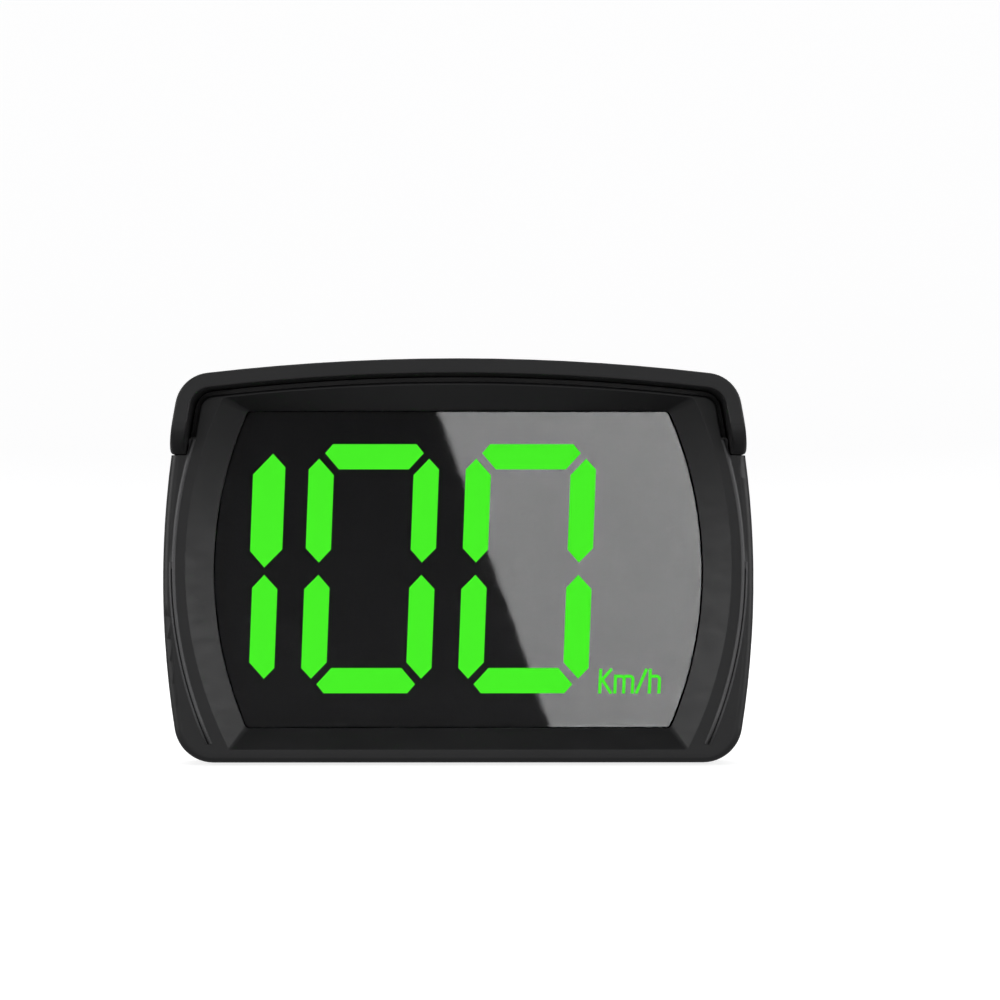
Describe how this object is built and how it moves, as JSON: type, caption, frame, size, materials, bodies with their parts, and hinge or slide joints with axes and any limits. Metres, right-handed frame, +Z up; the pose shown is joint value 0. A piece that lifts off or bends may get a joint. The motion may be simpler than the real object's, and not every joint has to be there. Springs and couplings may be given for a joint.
{
  "type": "gps speed display",
  "caption": "Solar dashboard speed display: hooded case, smoked window with green digits, rear solar panel and a fold-out foot.",
  "frame": {"origin": "centre of the foot pad's underside, where the sign is stuck to the dash", "axes": "the display faces -Y, +X is the viewer's right, +Z is up"},
  "size_m": [0.0824, 0.0511, 0.0563],
  "materials": {
    "case_plastic": "satin moulded",
    "smoked_window": "smoked acrylic, polished",
    "adhesive_tape": "matte foam tape",
    "block_plastic": "matt black",
    "lit_green": "glowing",
    "unlit_grey": "tinted resin",
    "led_package": "moulded",
    "board": "solder mask",
    "screw_steel": "black zinc",
    "plated_steel": "plated",
    "chip_plastic": "moulded",
    "capacitor": "matte",
    "antenna_ceramic": "fired, silvered face",
    "battery_foil": "pouch foil",
    "wire": "insulated wire",
    "plug_plastic": "nylon",
    "pin_steel": "ground",
    "solar_silicon": "dark blue silicon",
    "solar_resin": "clear epoxy",
    "solar_fibreboard": "black fibreboard",
    "pad_gel": "tacky gel"
  },
  "bodies": {
    "foot": {"foot_plate": "case_plastic", "foot_pad": "pad_gel", "hinge_pin": "pin_steel", "friction_washers": "pin_steel"},
    "head": {"front_case": "case_plastic", "rear_case": "case_plastic", "case_screws": "screw_steel", "window": "smoked_window", "window_tape": "adhesive_tape", "display_block": "block_plastic", "lit_segments": "lit_green", "dark_segments": "unlit_grey", "unit_legend": "lit_green", "leds": "led_package", "circuit_board": "board", "board_screws": "screw_steel", "chips": "chip_plastic", "passives": "capacitor", "gps_shield": "plated_steel", "gps_antenna": "antenna_ceramic", "battery": "battery_foil", "battery_tape": "adhesive_tape", "battery_leads": "wire", "battery_plug": "plug_plastic", "buzzer": "chip_plastic", "usb_shell": "plated_steel", "usb_tongue": "chip_plastic", "switch_body": "chip_plastic", "solar_tape": "adhesive_tape", "solar_board": "solar_fibreboard", "solar_cells": "solar_silicon", "solar_cover": "solar_resin", "solar_leads": "wire"},
    "button": {"mode_button": "case_plastic", "switch_plunger": "plug_plastic"}
  },
  "joints": [
    {"name": "head_tilt", "type": "hinge", "parent": "foot", "child": "head", "pos_m": [0, -0.0131, 0.002], "axis": [-1, 0, 0], "range_deg": [0, 90]},
    {"name": "button_press", "type": "slide", "parent": "head", "child": "button", "axis": [0, -1, 0], "range_m": [0, 0.00025], "stiffness_N_per_m": 60}
  ]
}
